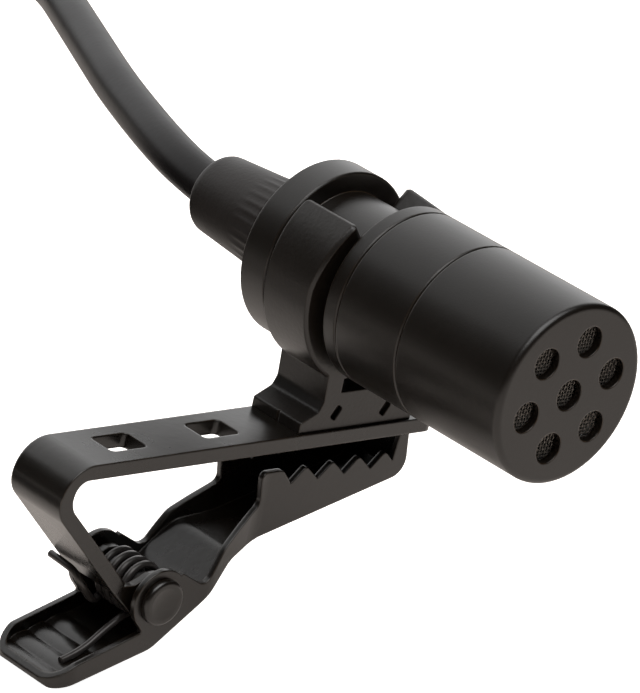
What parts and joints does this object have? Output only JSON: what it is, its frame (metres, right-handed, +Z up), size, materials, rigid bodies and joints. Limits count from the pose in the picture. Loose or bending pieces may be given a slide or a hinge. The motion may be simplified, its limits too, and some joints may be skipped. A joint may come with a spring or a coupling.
{
  "type": "lavalier microphone",
  "caption": "Tie-clip lavalier microphone: black cylindrical capsule with a perforated front, in a C-ring on a sprung toothed clip, with a coiled cable and jack plug.",
  "frame": {"origin": "centre of the bounding box of the microphone with its clip, without the free cable and plug, on the surface that the lever's tip rests on", "axes": "+Z up, at right angles to the clip's plate; +X along the clip from the lever to the mouth of the jaws; +Y from the grille to the cable, along the microphone's axis"},
  "size_m": [0.0593, 0.0899, 0.0267],
  "materials": {
    "body_black": "satin black anodised and painted metal",
    "clip_black": "semi-gloss black enamel on pressed steel",
    "holder_black": "moulded black nylon, satin",
    "rubber_black": "matt black rubber",
    "cable_black": "matt black cable jacket",
    "mesh_grey": "fine woven acoustic mesh",
    "felt_black": "black felt",
    "spring_steel": "blackened spring wire",
    "can_aluminium": "drawn aluminium can",
    "film_gold": "metallised film and ring",
    "brass_plate": "gilt brass",
    "white_plastic": "moulded insulator",
    "board_green": "glass-epoxy board",
    "chip_black": "epoxy package",
    "wire_red": "red core insulation",
    "wire_white": "white core insulation",
    "crimp_brass": "plain brass",
    "plug_nickel": "bright nickel plate",
    "plug_black": "moulded black plastic",
    "tie_black": "black hook-and-loop tape",
    "insulator_black": "black insulator"
  },
  "bodies": {
    "microphone": {"front_cap": "body_black", "mid_barrel": "body_black", "rear_housing": "body_black", "strain_boot": "rubber_black", "cable_entry": "cable_black", "cable_crimp": "crimp_brass", "dust_screen": "mesh_grey", "screen_ring": "can_aluminium", "rubber_holder": "rubber_black", "capsule_can": "can_aluminium", "capsule_felt": "felt_black", "diaphragm": "film_gold", "spacer_ring": "white_plastic", "backplate": "brass_plate", "backplate_cup": "white_plastic", "capsule_board": "board_green", "amplifier_chip": "chip_black", "signal_wire": "wire_red", "ground_wire": "wire_white", "cable_lead": "cable_black", "cable_tail": "cable_black", "cable_coil": "cable_black", "coil_tie": "tie_black", "plug_relief": "rubber_black", "plug_cable_end": "cable_black", "plug_barrel": "plug_black", "plug_sleeve": "plug_nickel", "plug_ring": "plug_nickel", "plug_tip": "plug_nickel", "plug_insulator_rear": "insulator_black", "plug_insulator_front": "insulator_black"},
    "clip": {"clip_holder": "holder_black", "clip_strip": "clip_black", "hinge_pin": "clip_black", "torsion_spring": "spring_steel"},
    "jaw": {"jaw": "clip_black"}
  },
  "joints": [
    {"name": "swivel", "type": "hinge", "parent": "microphone", "child": "clip", "pos_m": [0.00746, 0.00201, 0.02141], "axis": [0, 1, 0], "continuous": true},
    {"name": "jaw_hinge", "type": "hinge", "parent": "clip", "child": "jaw", "pos_m": [-0.00561, 0.00209, 0.00463], "axis": [0, 1, 0], "range_deg": [0, 25], "stiffness_Nm_per_rad": 0.02, "springref_deg": -28.65}
  ]
}
